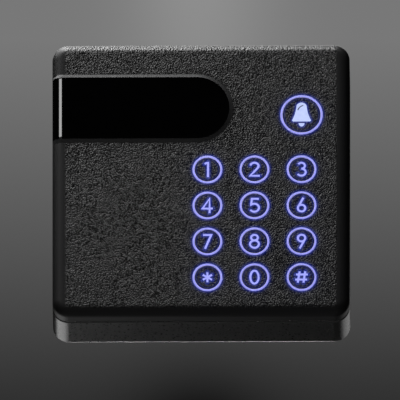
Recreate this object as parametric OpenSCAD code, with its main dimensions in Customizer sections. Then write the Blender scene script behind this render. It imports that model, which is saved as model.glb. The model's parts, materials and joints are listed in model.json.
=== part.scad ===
// Wall-mounted card reader with a lit keypad, hung on a steel plate.
// Every module draws in the face frame: x to the right, y up the wall, z from the wall
// towards the user. on_wall() turns that into the part's own frame, with +Z up and the
// user at -Y. The origin is the middle of the plane that lies on the wall.

/* [Body] */
// Width of the case
body_w = 120; // [118:0.5:126]
// Height of the case
body_h = 118; // [116:0.5:124]
// Depth from the wall to the front face
body_d = 31; // [31:0.5:36]
// Radius of the case's four corners
corner_r = 6.4; // [5:0.1:8]
// Rounding of the front edge
edge_r = 3.6; // [2:0.1:3.8]
// Thickness of the moulded walls
wall = 3; // [2.8:0.1:3.2]
// Depth of the front cover, up to the middle of the seam
cover_d = 8.6; // [8.5:0.1:8.8]
// Width of the seam between the cover and the housing
seam_w = 1; // [0.6:0.1:1.2]
// Rounding of the two edges along the seam
seam_r = 0.4; // [0.2:0.1:0.6]

/* [Window] */
// Half the height of the status window, and the radius of its round end
window_r = 14.8; // [12:0.1:15]
// Where the middle of the window's round end sits across the face
window_x = -1.9; // [-6:0.1:2]
// Height of the window's middle above the centre of the face
window_y = 30.6; // [30:0.1:32]
// How far the window stands out of the face
window_proud = 0.6; // [0.2:0.1:1]

/* [Keypad] */
// Middle column of keys, across the face
keys_x = 21.6; // [20:0.1:22]
// Distance between the columns of keys
column_pitch = 19; // [18:0.1:19.5]
// Height of the top row of number keys
keys_top_y = 3.9; // [2:0.1:5]
// Distance between the rows of keys
row_pitch = 15.65; // [14.5:0.05:16]
// Height of the bell key
bell_y = 27.6; // [26:0.1:29]
// Radius of a number key's cap
key_r = 5.05; // [4:0.05:5.2]
// Radius of the bell key's cap
bell_r = 7.57; // [6:0.01:7.8]
// Width of the lit ring around each key
ring_w = 0.9; // [0.6:0.1:1]
// How far a key travels
key_travel = 1; // [0.6:0.1:1]

/* [Mounting] */
// Width of the wall plate
plate_w = 84; // [80:1:88]
// Height of the wall plate
plate_h = 66; // [64:1:68]
// Distance between the two wall screws
screw_pitch = 60; // [60:0.1:60.5]
// How far the case lifts to come off the plate's hooks
lift = 6; // [5:0.1:6]

/* [Hidden] */
$fn = 64;

// --- colours ---
cover_black = [0.13, 0.13, 0.14];
housing_black = [0.17, 0.17, 0.18];
lit_blue = [0.62, 0.60, 1.0];
board_green = [0.05, 0.30, 0.16];
steel = [0.72, 0.73, 0.75];
brass = [0.80, 0.66, 0.32];

// --- small distances used throughout ---
eps = 0.5;          // how far a cutter runs past the face that it cuts
running_gap = 0.08; // radial clearance of a piece that slides in its hole
snug_gap = 0.05;    // clearance of a piece that is held still

// --- the stack, from the wall to the face ---
wall_gap = 0.3;                        // the housing's rim stays this far off the wall
plate_t = 1.5;                         // the wall plate
recess_z = 2.2;                        // floor of the recess that holds the plate
floor_z = 4.5;                         // the housing's inner floor
seam_z = body_d - cover_d;             // middle of the seam
housing_top = seam_z - seam_w / 2;
cover_back = seam_z + seam_w / 2;
tongue_inset = 2.1;                    // the housing's tongue inside the cover's rim
tongue_z = housing_top + 2.5;
rebate_inset = 2;                      // the cover's rebate over the tongue
rebate_z = tongue_z + 0.2;
inner_z = body_d - wall;               // inner side of the front face
guide_t = 1.2;                         // the keypad's light guide
guide_z = inner_z - guide_t;
flange_t = 1;                          // the flange that keeps a key in
key_back = guide_z - flange_t;
flange_w = 1.35;                       // how far that flange stands out from the cap
web_t = 1;                             // the silicone mat's web
pill_t = 0.2;                          // the carbon pills under the mat's plungers
board_front = key_back - key_travel - 2.2;
board_t = 1.6;
board_back = board_front - board_t;

// --- places of the keys ---
function key_x(column) = keys_x + (column - 1) * column_pitch;
function key_y(row) = keys_top_y - row * row_pitch;
bell_x = key_x(2);
bore_r = key_r + running_gap;          // inside of a number key's ring
bell_bore_r = bell_r + running_gap;
key_places = [for (row = [0:3], column = [0:2]) [key_x(column), key_y(row)]];
all_places = concat(key_places, [[bell_x, bell_y]]);
// one of the small lamps stands between each pair of columns, on every row
lamp_places = concat(
    [for (row = [0:3], column = [0:1]) [(key_x(column) + key_x(column + 1)) / 2, key_y(row)]],
    [[bell_x - 12, bell_y + 6], [bell_x - 12, bell_y - 6]]);

// --- the plate behind the keys, and the stakes that hold it ---
pad_left = key_x(0) - 8.8;
pad_right = key_x(2) + 7.8;
pad_top = keys_top_y + 8.6;
pad_bottom = key_y(3) - 7.8;
bell_pad_half = 10.4;
stake_r = 0.9;
stake_places = [[key_x(0) - 6.6, pad_top - 2], [key_x(0) - 6.6, (key_y(2) + key_y(3)) / 2],
                [key_x(2) + 5.6, (key_y(1) + key_y(2)) / 2], [bell_x + 9, bell_y + 9]];

// --- fasteners ---
case_screw_r = 1.5;
case_screw_inset = 7.5;                // from the case's sides to each screw
case_screw_places = [for (sx = [-1, 1], sy = [-1, 1])
    [sx * (body_w / 2 - case_screw_inset), sy * (body_h / 2 - case_screw_inset)]];
case_boss_r = 3.2;
case_head_r = 2.8;
case_head_z = 3;                       // the screw heads bear here, inside the back
case_hole_end = inner_z - 0.5;
board_screw_r = 1;
board_post_r = 2.8;
board_screw_places = [[-30, 50.5], [22, 50.5], [-32, 11], [-10.4, -50.5], [52.4, -8],
                      [-52.4, -36]];

// --- the wall plate and what works with it ---
plate_y = 3;                           // the plate's middle, above the origin
hook_w = 10;
hook_x = 28;
hook_ys = [24, -17];
hook_reach = 6.4;                      // how far a hook stands off the wall
hook_hold = lift - 1;                  // how far a hook's lip overlaps the housing
slot_l = 8;                            // the wall screws' slots
slot_r = 2.25;
wall_head_r = 4.6;                     // room for a wall screw's head
cable_y = -15;
cable_w = 24;
cable_h = 15;
spring_w = 7;
spring_t = 0.5;
spring_y0 = 10;                        // free end of the latch spring
spring_y1 = 34;
latch_y = 15;
latch_r = 1.8;
rivet_ys = [26.5, 31.5];
rivet_r = 1.2;
rivet_head_r = 1.9;

// --- the label on the back ---
label_place = [0, -47];
label_w = 50;
label_h = 12;
label_t = 0.2;
label_floor = 2 * wall_gap;            // the label lies in a shallow recess

// --- the tamper plunger ---
tamper_place = [-48, -20];
tamper_r = 1.77;
tamper_flange_z = 6.2;
tamper_flange_t = 1;
tamper_stem_end = 13.9;
tamper_switch_z = 14;

// --- the status window ---
window_t = 2;                          // thickness of the window's shell
window_bevel = 1.5;                    // width of its sloping rim
window_front = body_d + window_proud;
window_floor = window_front - window_t;
window_round = edge_r + 0.4;           // rounding where it turns the case's left edge
aperture = [44, 12];                   // light opening behind the window
aperture_x = -26;
window_pin_places = [[4, window_y], [-20, window_y + 9.9], [-20, window_y - 9.9]];
window_pin_r = 1;

// --- the antenna ---
antenna_place = [-31.5, -21];
antenna_size = [34, 50];
antenna_rim = 2;                       // depth of the winding groove
antenna_flange_t = 0.8;
antenna_z = inner_z - 4;

// --- the terminal block ---
poles = 8;
pole_pitch = 3.81;
terminal_y = -38;
terminal_d = 8;
terminal_z = 11;
clamp_z = 15.6;

// ---------------------------------------------------------------- shared shapes

// From the face frame to the part's own frame
module on_wall() {
    rotate([90, 0, 0]) children();
}

// Flat rectangle with round corners, about the origin
module rounded_rect(w, h, r) {
    square([w - 2 * r, h], center = true);
    square([w, h - 2 * r], center = true);
    for (sx = [-1, 1], sy = [-1, 1]) {
        translate([sx * (w / 2 - r), sy * (h / 2 - r)]) circle(r);
    }
}

// The same, as a plate between two depths
module rounded_plate(w, h, r, z0, z1) {
    translate([0, 0, z0]) linear_extrude(z1 - z0) rounded_rect(w, h, r);
}

// The case's outline moved in by inset, between two depths
module case_outline(inset, z0, z1) {
    rounded_plate(body_w - 2 * inset, body_h - 2 * inset, corner_r - inset, z0, z1);
}

// What a rounding of radius r removes from a square corner at the origin
module corner_waste(r) {
    difference() {
        translate([-r, -r]) square(r + eps);
        translate([-r, -r]) circle(r);
    }
}

// Section across the case: 2 * half wide, with its front or back edges rounded
module edge_section(half, z0, z1, back_r, front_r) {
    difference() {
        translate([-half, z0]) square([2 * half, z1 - z0]);
        for (side = [0, 1]) {
            mirror([side, 0]) {
                if (front_r > 0) translate([half, z1]) corner_waste(front_r);
                if (back_r > 0) translate([half, z0]) mirror([0, 1]) corner_waste(back_r);
            }
        }
    }
}

// Block with the case's outline, round corners and rounded front or back edges
module soft_block(z0, z1, back_r, front_r) {
    run_x = body_w / 2 - corner_r;
    run_y = body_h / 2 - corner_r;
    translate([0, run_y, 0]) rotate([90, 0, 0]) linear_extrude(2 * run_y)
        edge_section(body_w / 2, z0, z1, back_r, front_r);
    translate([-run_x, 0, 0]) rotate([90, 0, 90]) linear_extrude(2 * run_x)
        edge_section(body_h / 2, z0, z1, back_r, front_r);
    for (sx = [-1, 1], sy = [-1, 1]) {
        translate([sx * run_x, sy * run_y, 0]) rotate_extrude() intersection() {
            edge_section(corner_r, z0, z1, back_r, front_r);
            translate([0, z0 - eps]) square([2 * corner_r, z1 - z0 + 2 * eps]);
        }
    }
}

// Rod between two depths
module rod(r, z0, z1) {
    translate([0, 0, z0]) cylinder(r = r, h = z1 - z0);
}

// Box given by its middle across the face and its two depths
module slab(w, h, z0, z1) {
    translate([-w / 2, -h / 2, z0]) cube([w, h, z1 - z0]);
}

// Copies of the children at a list of places on the face
module at(places) {
    for (place = places) translate([place[0], place[1], 0]) children();
}

// Screw seen from the back: a pan head with a cross recess, and a plain shank
module screw(r, head_r, head_t, bearing_z, end_z) {
    cross_w = head_r / 4;
    difference() {
        rod(head_r, bearing_z - head_t, bearing_z);
        for (turn = [0, 90]) {
            rotate([0, 0, turn])
                slab(head_r * 1.2, cross_w, bearing_z - head_t - eps, bearing_z - head_t / 2);
        }
    }
    rod(r, bearing_z - eps / 2, end_z);
}

// Ring-shaped frame between two depths
module frame_plate(w, h, r, rim, z0, z1) {
    difference() {
        rounded_plate(w, h, r, z0, z1);
        rounded_plate(w - 2 * rim, h - 2 * rim, max(r - rim, 0.5), z0 - eps, z1 + eps);
    }
}

// ---------------------------------------------------------------- wall plate

module hook() {
    lip_h = hook_hold + plate_t;
    translate([0, plate_t / 2, 0]) slab(hook_w, plate_t, plate_t / 2, hook_reach);
    translate([0, lip_h / 2, 0]) slab(hook_w, lip_h, hook_reach - plate_t, hook_reach);
}

module hook_window() {
    blank_l = 10.5;
    translate([0, -blank_l / 2, 0]) slab(hook_w, blank_l, -eps, plate_t + eps);
}

module wall_plate() color(steel) on_wall() {
    flex_w = spring_w + 2;
    flex_y0 = spring_y0 - 2;
    flex_h = 14;
    difference() {
        union() {
            translate([0, plate_y, 0]) rounded_plate(plate_w, plate_h, 3, 0, plate_t);
            for (sx = [-1, 1], y = hook_ys) translate([sx * hook_x, y, 0]) hook();
        }
        for (sx = [-1, 1], y = hook_ys) translate([sx * hook_x, y, 0]) hook_window();
        for (sx = [-1, 1]) {
            translate([sx * screw_pitch / 2, 0, 0]) {
                slab(slot_l - 2 * slot_r, 2 * slot_r, -eps, plate_t + eps);
                at([[-slot_l / 2 + slot_r, 0], [slot_l / 2 - slot_r, 0]])
                    rod(slot_r, -eps, plate_t + eps);
            }
        }
        translate([0, cable_y, 0])
            rounded_plate(cable_w + 2, cable_h + 7, 3, -eps, plate_t + eps);
        translate([0, flex_y0 + flex_h / 2, 0]) slab(flex_w, flex_h, -eps, plate_t + eps);
        for (y = rivet_ys) translate([0, y, 0]) rod(rivet_r, -eps, plate_t + eps);
    }
}

module latch_spring() color("lightsteelblue") on_wall() {
    length = spring_y1 - spring_y0;
    difference() {
        union() {
            translate([0, spring_y0 + length / 2, 0])
                slab(spring_w, length, plate_t, plate_t + spring_t);
            intersection() {
                translate([-spring_w / 2, latch_y, plate_t - 0.1]) rotate([0, 90, 0])
                    cylinder(r = latch_r, h = spring_w);
                translate([0, latch_y, 0]) slab(spring_w, 2 * latch_r, plate_t, floor_z);
            }
        }
        for (y = rivet_ys) translate([0, y, 0]) rod(rivet_r, 0, floor_z);
    }
}

module latch_rivets() color("silver") on_wall() {
    head_z = plate_t + spring_t;
    for (y = rivet_ys) translate([0, y, 0]) {
        rod(rivet_r - 0.02, 0, head_z + 0.1);
        rod(rivet_head_r, head_z, head_z + 0.6);
    }
}

// ---------------------------------------------------------------- rear housing

module plate_recess() {
    side_gap = 0.3;
    below = lift + 0.5;
    above = 0.5;
    translate([0, plate_y + (above - below) / 2, 0])
        rounded_plate(plate_w + 2 * side_gap, plate_h + below + above, 3, -eps, recess_z);
}

// Openings in the back that let the hooks, screw heads, rivets and cable through
module back_openings() {
    slot_top = plate_t + snug_gap;
    slot_bottom = -lift - 0.4;
    head_w = slot_l - 2 * slot_r + 2 * wall_head_r;
    head_top = wall_head_r;
    head_bottom = -lift - wall_head_r;
    for (sx = [-1, 1], y = hook_ys) {
        translate([sx * hook_x, y + (slot_top + slot_bottom) / 2, 0])
            slab(hook_w + 0.6, slot_top - slot_bottom, 0, floor_z + eps);
    }
    for (sx = [-1, 1]) {
        translate([sx * screw_pitch / 2, (head_top + head_bottom) / 2, 0])
            slab(head_w, head_top - head_bottom, 0, floor_z + eps);
    }
    translate([0, cable_y, 0]) rounded_plate(cable_w, cable_h, 3, 0, floor_z + eps);
}

// Hollows in the back for the latch bump and for the rivet heads as the case lifts
module latch_hollows() {
    bump_h = 2 * latch_r + 0.6;
    channel_bottom = rivet_ys[0] - lift - rivet_head_r - 0.2;
    channel_top = rivet_ys[1] + rivet_head_r + 0.2;
    translate([0, latch_y, 0]) slab(spring_w + 0.8, bump_h, 0, plate_t + latch_r + 0.1);
    translate([0, (channel_bottom + channel_top) / 2, 0])
        slab(2 * rivet_head_r + 0.8, channel_top - channel_bottom, 0, recess_z + 0.8);
}

module rear_housing() color(housing_black) on_wall() {
    back_edge_r = 1;
    difference() {
        union() {
            difference() {
                soft_block(wall_gap, housing_top, back_edge_r, seam_r);
                case_outline(wall, floor_z, body_d);
            }
            difference() {
                case_outline(tongue_inset, housing_top - eps, tongue_z);
                case_outline(wall, housing_top - 2 * eps, tongue_z + eps);
            }
            at(case_screw_places) rod(case_boss_r, floor_z - eps, seam_z);
        }
        plate_recess();
        back_openings();
        latch_hollows();
        at([label_place]) slab(label_w + 0.4, label_h + 0.4, 0, label_floor);
        at([tamper_place]) rod(tamper_r + running_gap, 0, floor_z + eps);
        at(case_screw_places) {
            rod(case_screw_r + 0.2, 0, seam_z + eps);
            rod(case_head_r + 0.3, 0, case_head_z);
        }
    }
}

module rear_label() color("gainsboro") on_wall() {
    at([label_place]) slab(label_w, label_h, label_floor - label_t, label_floor);
}

module cable_grommet() color([0.08, 0.08, 0.08]) on_wall() {
    lip = 2.4;
    translate([0, cable_y, 0]) difference() {
        union() {
            rounded_plate(cable_w + lip, cable_h + lip, 4, plate_t + 0.15, recess_z);
            rounded_plate(cable_w, cable_h, 3, recess_z - 0.1, floor_z + 0.1);
            rounded_plate(cable_w + lip, cable_h + lip, 4, floor_z, floor_z + 0.7);
        }
        rounded_plate(cable_w - 4, cable_h - 4, 2.5, 0, floor_z + 2);
    }
}

module case_screws() color("silver") on_wall() {
    at(case_screw_places)
        screw(case_screw_r - 0.02, case_head_r, 1.8, case_head_z, case_hole_end - 0.3);
}

module case_gasket() color([0.05, 0.05, 0.05]) on_wall() {
    gasket_inset = 0.8;
    difference() {
        case_outline(gasket_inset, housing_top, cover_back);
        case_outline(tongue_inset - 0.1, housing_top - eps, cover_back + eps);
    }
}

// ---------------------------------------------------------------- front cover

// Everything outside the inner skin of the window, which wraps the case's left edge
module outside_window_skin(reach) {
    skin_x = -body_w / 2 + window_t;
    inner_r = window_round - window_t;
    difference() {
        translate([-body_w / 2 - reach, 0]) square([body_w, window_front + reach]);
        difference() {
            translate([skin_x, -eps]) square([body_w, window_floor + eps]);
            translate([skin_x, window_floor]) mirror([1, 0]) corner_waste(inner_r);
        }
    }
}

// Prism with a round right-hand end that runs out past the case's left side
module window_outline(r, z0, z1) {
    run = window_x + body_w / 2 + 5;
    translate([window_x, window_y, z0]) {
        cylinder(r = r, h = z1 - z0);
        translate([-run, -r, 0]) cube([run, 2 * r, z1 - z0]);
    }
}

module window_pocket() {
    intersection() {
        window_outline(window_r + snug_gap, cover_back - eps, window_front + eps);
        translate([0, window_y + 2 * window_r, 0]) rotate([90, 0, 0])
            linear_extrude(4 * window_r) outside_window_skin(4);
    }
}

module front_cover() color(cover_black) on_wall() {
    difference() {
        union() {
            difference() {
                soft_block(cover_back, body_d, seam_r, edge_r);
                case_outline(wall, 0, inner_z);
            }
            at(case_screw_places) rod(case_boss_r, seam_z, inner_z + eps);
            at(board_screw_places) rod(board_post_r, board_front, inner_z + eps);
            at(stake_places) rod(stake_r, guide_z, inner_z + eps);
        }
        case_outline(rebate_inset, 0, rebate_z);
        at(case_screw_places) rod(case_boss_r + 0.6, 0, seam_z);
        window_pocket();
        translate([aperture_x, window_y, 0])
            rounded_plate(aperture[0], aperture[1], 2, inner_z - eps, body_d);
        at(window_pin_places) rod(window_pin_r + snug_gap, inner_z - eps, body_d);
        at(key_places) rod(bore_r + ring_w + snug_gap, inner_z - eps, body_d + eps);
        at([[bell_x, bell_y]]) rod(bell_bore_r + ring_w + snug_gap, inner_z - eps, body_d + eps);
        at(case_screw_places) rod(case_screw_r, 0, case_hole_end);
        at(board_screw_places) rod(board_screw_r, 0, inner_z - 0.8);
    }
    at(case_screw_places) difference() {
        rod(case_boss_r, seam_z, rebate_z + eps);
        rod(case_screw_r, 0, case_hole_end);
    }
    at(board_screw_places) difference() {
        rod(board_post_r, board_front, rebate_z + eps);
        rod(board_screw_r, 0, inner_z - 0.8);
    }
}

module led_window() color([0.02, 0.02, 0.03]) on_wall() {
    top = window_front;
    left = -body_w / 2;
    run = window_x - left;
    intersection() {
        union() {
            translate([window_x, window_y, 0]) rotate_extrude()
                polygon([[0, cover_back], [window_r, cover_back], [window_r, body_d],
                         [window_r - window_bevel, top], [0, top]]);
            translate([left, window_y, 0]) rotate([90, 0, 90]) linear_extrude(run)
                polygon([[-window_r, cover_back], [window_r, cover_back], [window_r, body_d],
                         [window_r - window_bevel, top], [-window_r + window_bevel, top],
                         [-window_r, body_d]]);
        }
        translate([0, window_y + 2 * window_r, 0]) rotate([90, 0, 0])
            linear_extrude(4 * window_r) difference() {
                outside_window_skin(0);
                translate([left, top]) mirror([1, 0]) corner_waste(window_round);
            }
    }
    at(window_pin_places) rod(window_pin_r, inner_z - 1, window_floor + 0.1);
}

module status_light_guide() color([0.85, 0.87, 0.9, 0.8]) on_wall() {
    lip = 3;
    translate([aperture_x, window_y, 0]) {
        rounded_plate(aperture[0] + lip, aperture[1] + lip, 2, inner_z - 1, inner_z);
        rounded_plate(aperture[0] - 0.4, aperture[1] - 0.4, 1.8, inner_z - 0.2,
                      window_floor - 0.1);
    }
}

// ---------------------------------------------------------------- keypad

// Plate behind all the number keys, with an arm up to the bell key
module pad_plate(inset, z0, z1) {
    w = pad_right - pad_left - 2 * inset;
    h = pad_top - pad_bottom - 2 * inset;
    arm_w = 2 * (bell_pad_half - inset);
    arm_bottom = pad_top - 6;
    arm_top = bell_y + bell_pad_half - inset;
    translate([(pad_left + pad_right) / 2, (pad_top + pad_bottom) / 2, z0])
        linear_extrude(z1 - z0) rounded_rect(w, h, 2);
    translate([bell_x, (arm_top + arm_bottom) / 2, z0])
        linear_extrude(z1 - z0) rounded_rect(arm_w, arm_top - arm_bottom, 2);
}

module key_light_guide() color(lit_blue) on_wall() {
    notch_w = 1.2;
    difference() {
        union() {
            pad_plate(0, guide_z, inner_z);
            at(key_places) rod(bore_r + ring_w, guide_z, body_d);
            at([[bell_x, bell_y]]) rod(bell_bore_r + ring_w, guide_z, body_d);
        }
        at(key_places) {
            rod(bore_r, guide_z - eps, body_d + eps);
            translate([0, bore_r / 2 + 0.4, 0]) slab(notch_w, bore_r + 0.8, guide_z - eps, inner_z);
        }
        at([[bell_x, bell_y]]) {
            rod(bell_bore_r, guide_z - eps, body_d + eps);
            translate([0, bell_bore_r / 2 + 0.4, 0])
                slab(notch_w, bell_bore_r + 0.8, guide_z - eps, inner_z);
        }
        at(stake_places) rod(stake_r + snug_gap, guide_z - eps, inner_z + eps);
        at(lamp_places) slab(2.4, 1.4, guide_z - eps, guide_z + 0.5);
    }
}

// Round cap with a flange behind the light guide and a rib that stops it turning
module key_cap(r) {
    chamfer = 0.2;
    rib_w = 1;
    rotate_extrude() polygon([[0, key_back], [r + flange_w, key_back], [r + flange_w, guide_z],
        [r, guide_z], [r, body_d - chamfer], [r - chamfer, body_d], [0, body_d]]);
    translate([0, (r + 0.8) / 2, 0]) slab(rib_w, r + 0.8, guide_z - 0.1, inner_z - 0.2);
}

module number_key(row, column) color(cover_black) on_wall() {
    translate([key_x(column), key_y(row), 0]) key_cap(key_r);
}

module bell_key() color(cover_black) on_wall() {
    translate([bell_x, bell_y, 0]) key_cap(bell_r);
}

// Silicone mat with a hollow dome and a plunger behind each key
module keypad_mat() color([0.75, 0.76, 0.78]) on_wall() {
    web_top = board_front + web_t;
    dome_r = 5.2;
    crown_r = 3.6;
    crown_z = web_top + 1.4;
    plunger_r = 2.4;
    plunger_z = board_front + key_travel + pill_t;
    difference() {
        union() {
            pad_plate(0.4, board_front, web_top);
            at(all_places) rotate_extrude() polygon([[0, web_top - 0.1], [dome_r, web_top - 0.1],
                [dome_r, web_top], [crown_r, crown_z], [crown_r, key_back], [0, key_back]]);
        }
        at(all_places) rotate_extrude() polygon([[0, board_front - eps],
            [dome_r - 0.8, board_front - eps], [dome_r - 0.8, web_top - 0.2],
            [plunger_r + 0.5, crown_z], [plunger_r, crown_z], [plunger_r, plunger_z],
            [0, plunger_z]]);
        at(lamp_places) slab(3.4, 2.6, board_front - eps, web_top + eps);
    }
}

module contact_pills() color([0.04, 0.04, 0.04]) on_wall() {
    pill_r = 2.2;
    pill_z = board_front + key_travel;
    at(all_places) rod(pill_r, pill_z, pill_z + pill_t);
}

// ---------------------------------------------------------------- main board

module main_board() color(board_green) on_wall() {
    board_w = body_w - 9.6;
    board_h = body_h - 9.6;
    notch = 7;
    difference() {
        rounded_plate(board_w, board_h, 1, board_back, board_front);
        for (sx = [-1, 1], sy = [-1, 1]) {
            translate([sx * board_w / 2, sy * board_h / 2, 0])
                slab(2 * notch, 2 * notch, board_back - eps, board_front + eps);
        }
        at(board_screw_places) rod(board_screw_r + 0.2, board_back - eps, board_front + eps);
    }
}

module board_screws() color("silver") on_wall() {
    at(board_screw_places)
        screw(board_screw_r - 0.02, 2, 1.4, board_back, inner_z - 1.2);
}

module backlight_leds() color([0.55, 0.6, 1]) on_wall() {
    at(lamp_places) {
        slab(1.6, 0.8, board_front, board_front + 0.4);
        slab(1, 0.7, board_front + 0.3, board_front + 0.8);
    }
}

module status_leds() color([0.9, 0.92, 0.88]) on_wall() {
    spacing = 14;
    for (i = [-1:1]) translate([aperture_x + i * spacing, window_y, 0]) {
        slab(3.2, 2.8, board_front, board_front + 1.4);
        rod(1.1, board_front + 1.3, board_front + 1.9);
    }
}

module mcu_chip() color([0.1, 0.1, 0.11]) on_wall() {
    body = 10;
    legs = 11;
    leg_pitch = 0.8;
    leg_out = 1;
    translate([8, 10, 0]) {
        slab(body, body, board_back - 1.6, board_back - 0.1);
        for (side = [0:3], i = [0:legs - 1]) {
            rotate([0, 0, 90 * side])
                translate([(i - (legs - 1) / 2) * leg_pitch, body / 2 + leg_out / 2 - 0.1, 0])
                    slab(0.36, leg_out + 0.2, board_back - 0.5, board_back);
        }
    }
}

module rf_chip() color([0.1, 0.1, 0.11]) on_wall() {
    body = 5;
    pads = 8;
    pad_pitch = 0.5;
    pad_l = 0.5;
    translate([-16, -12, 0]) {
        slab(body, body, board_back - 0.9, board_back - 0.05);
        for (side = [0:3], i = [0:pads - 1]) {
            rotate([0, 0, 90 * side])
                translate([(i - (pads - 1) / 2) * pad_pitch, (body - pad_l) / 2 + 0.05, 0])
                    slab(0.24, pad_l, board_back - 0.2, board_back);
        }
    }
}

module crystal() color("silver") on_wall() {
    can_w = 10.5;
    can_h = 4.4;
    translate([-6, 24, 0]) {
        rounded_plate(can_w, can_h, can_h / 2 - 0.01, board_back - 3.4, board_back - 0.3);
        rounded_plate(can_w + 0.8, can_h + 0.8, can_h / 2 + 0.35, board_back - 0.5, board_back);
    }
}

module regulator() color([0.12, 0.12, 0.13]) on_wall() {
    translate([36, 30, 0]) {
        slab(6.5, 6, board_back - 2.3, board_back - 0.1);
        translate([0, 3.6, 0]) slab(5.3, 2, board_back - 0.6, board_back);
        for (sx = [-1, 1]) translate([sx * 2.3, -4, 0]) slab(0.8, 2.6, board_back - 0.6, board_back);
    }
}

module capacitors() color([0.2, 0.22, 0.4]) on_wall() {
    // each can: place, radius and height
    cans = [[[-30, 20], 4, 9], [[-20, 20], 4, 9], [[24, 34], 3.15, 6.5], [[30, -2], 3.15, 6.5]];
    for (can = cans) at([can[0]]) {
        rod(can[1], board_back - can[2], board_back - 0.8);
        slab(2 * can[1] + 0.4, 2 * can[1] + 0.4, board_back - 0.9, board_back);
    }
}

module buzzer() color([0.07, 0.07, 0.07]) on_wall() {
    translate([-34, -36, 0]) difference() {
        rod(6, board_back - 8.5, board_back);
        rod(1.1, board_back - 9, board_back - 7);
    }
}

module antenna_frame() color([0.8, 0.78, 0.7]) on_wall() {
    w = antenna_size[0];
    h = antenna_size[1];
    core = antenna_rim;
    at([antenna_place]) difference() {
        union() {
            rounded_plate(w, h, 4, antenna_z, antenna_z + antenna_flange_t);
            rounded_plate(w - 2 * core, h - 2 * core, 3, antenna_z, inner_z);
            rounded_plate(w, h, 4, inner_z - antenna_flange_t, inner_z);
        }
        rounded_plate(w - 2 * core - 3, h - 2 * core - 3, 2, antenna_z - eps, inner_z + eps);
    }
}

module antenna_coil() color([0.72, 0.4, 0.2]) on_wall() {
    w = antenna_size[0] - 0.4;
    h = antenna_size[1] - 0.4;
    at([antenna_place])
        frame_plate(w, h, 4.5, antenna_rim - 0.25, antenna_z + antenna_flange_t + snug_gap,
                    inner_z - antenna_flange_t - snug_gap);
}

module coil_connector() color([0.92, 0.92, 0.88]) on_wall() {
    translate([-16, -30, 0]) difference() {
        slab(6, 4.5, board_back - 6, board_back);
        slab(4.8, 3.3, board_back - 6.5, board_back - 1.2);
    }
}

function pole_x(i) = (i - (poles - 1) / 2) * pole_pitch;

module terminal_block() color([0.1, 0.35, 0.18]) on_wall() {
    entry_w = 2.8;
    well_r = 1.6;
    translate([0, terminal_y, 0]) difference() {
        slab(poles * pole_pitch + 0.6, terminal_d, terminal_z, board_back);
        for (i = [0:poles - 1]) translate([pole_x(i), 0, 0]) {
            rod(well_r, terminal_z - eps, clamp_z + 0.2);
            translate([0, 1, 0]) slab(entry_w, terminal_d, clamp_z, clamp_z + 3);
        }
    }
}

module terminal_screws() color("silver") on_wall() {
    head_z = terminal_z + 0.5;
    for (i = [0:poles - 1]) translate([pole_x(i), terminal_y, 0]) difference() {
        rod(1.5, head_z, clamp_z);
        slab(3.2, 0.5, head_z - eps, head_z + 0.6);
    }
}

module terminal_clamps() color(brass) on_wall() {
    cage = 2.6;
    for (i = [0:poles - 1]) translate([pole_x(i), terminal_y, 0]) difference() {
        slab(cage, 5, clamp_z, clamp_z + 2.8);
        slab(cage - 1, 6, clamp_z + 0.6, clamp_z + 2.2);
    }
}

// ---------------------------------------------------------------- tamper switch

module tamper_switch() color([0.12, 0.12, 0.12]) on_wall() {
    at([tamper_place]) slab(8, 6.5, tamper_switch_z, board_back);
}

module tamper_plunger() color([0.85, 0.85, 0.82]) on_wall() {
    flange_end = tamper_flange_z + tamper_flange_t;
    at([tamper_place]) {
        rod(tamper_r, 0, tamper_flange_z + 0.1);
        rod(3, tamper_flange_z, flange_end);
        rod(1, flange_end - 0.1, tamper_stem_end);
    }
}

// Point on the skin of a helical wire: k counts steps along it and s goes round it
function wire_point(k, s, steps, sides, coil_r, wire_r, low, rise) =
    let (turn = 360 * k / steps, around = 360 * s / sides, reach = coil_r + wire_r * cos(around))
    [reach * cos(turn), reach * sin(turn), low + rise * k + wire_r * sin(around)];

// Open coil whose wire follows a helix
module tamper_spring() color("silver") on_wall() {
    coil_r = 2.2;
    wire_r = 0.3;
    turns = 5;
    steps = 20;
    sides = 8;
    low = tamper_flange_z + tamper_flange_t + wire_r;
    high = tamper_switch_z - wire_r;
    rings = turns * steps;
    rise = (high - low) / rings;
    points = [for (k = [0:rings], s = [0:sides - 1])
        wire_point(k, s, steps, sides, coil_r, wire_r, low, rise)];
    skin = [for (k = [0:rings - 1], s = [0:sides - 1])
        [k * sides + s, k * sides + (s + 1) % sides,
         (k + 1) * sides + (s + 1) % sides, (k + 1) * sides + s]];
    caps = [[for (s = [sides - 1:-1:0]) s], [for (s = [0:sides - 1]) rings * sides + s]];
    at([tamper_place]) polyhedron(points = points, faces = concat(skin, caps));
}

// ---------------------------------------------------------------- drawing

wall_plate();
latch_spring();
latch_rivets();
rear_housing();
rear_label();
cable_grommet();
case_screws();
case_gasket();
front_cover();
led_window();
status_light_guide();
key_light_guide();
keypad_mat();
contact_pills();
number_key(0, 0);  // key_1
number_key(0, 1);  // key_2
number_key(0, 2);  // key_3
number_key(1, 0);  // key_4
number_key(1, 1);  // key_5
number_key(1, 2);  // key_6
number_key(2, 0);  // key_7
number_key(2, 1);  // key_8
number_key(2, 2);  // key_9
number_key(3, 0);  // key_star
number_key(3, 1);  // key_0
number_key(3, 2);  // key_hash
bell_key();  // key_bell
main_board();
board_screws();
backlight_leds();
status_leds();
mcu_chip();
rf_chip();
crystal();
regulator();
capacitors();
buzzer();
antenna_frame();
antenna_coil();
coil_connector();
terminal_block();
terminal_screws();
terminal_clamps();
tamper_switch();
tamper_plunger();
tamper_spring();
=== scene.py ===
import json
import math

import bmesh
import bpy
import numpy as np
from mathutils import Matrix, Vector, geometry, noise


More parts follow.
